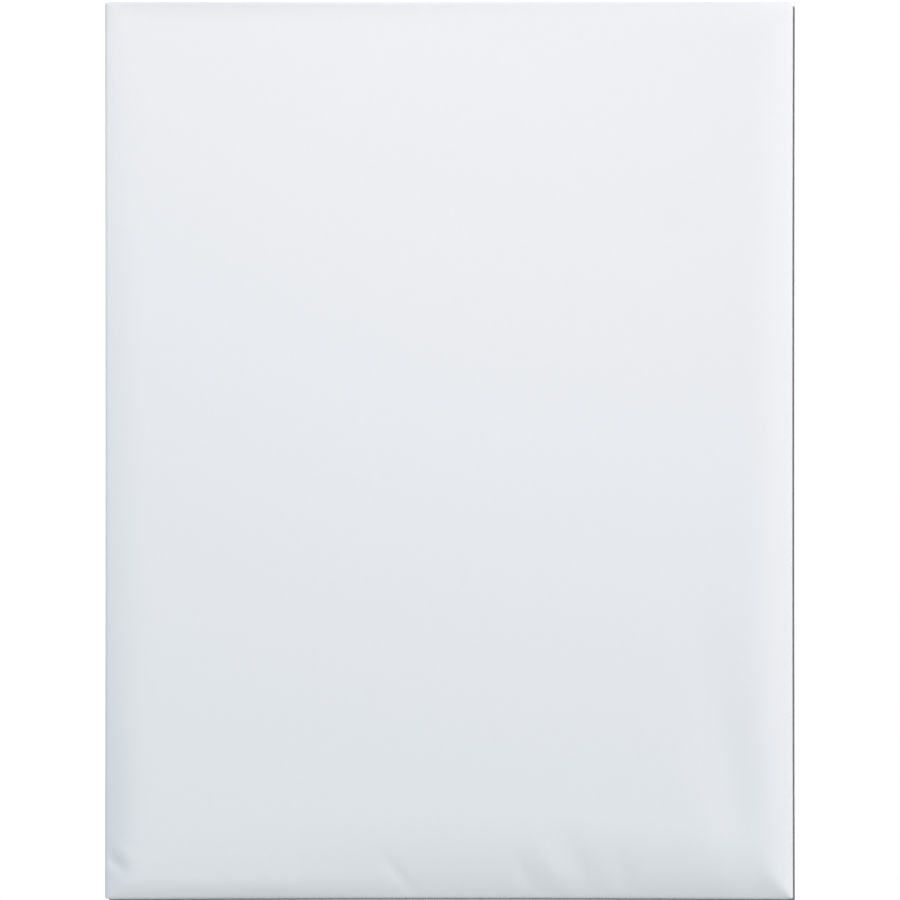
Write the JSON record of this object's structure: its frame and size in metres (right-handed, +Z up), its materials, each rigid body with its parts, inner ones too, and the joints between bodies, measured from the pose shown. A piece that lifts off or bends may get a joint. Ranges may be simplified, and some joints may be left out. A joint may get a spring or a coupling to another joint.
{
  "type": "catalog envelope",
  "caption": "White paper mailing envelope, gummed shut and slightly plumped, lying on its back with its plain front up.",
  "frame": {"origin": "on the surface it lies on, under the middle of its outline", "axes": "+X to the right and +Y towards the seal flap's end as the front is read, +Z up out of the front"},
  "size_m": [0.25, 0.3262, 0.007],
  "materials": {
    "white_wove_paper": "uncoated wove paper, matte, very slightly blue white"
  },
  "bodies": {
    "root": {"envelope": "white_wove_paper"}
  },
  "joints": []
}
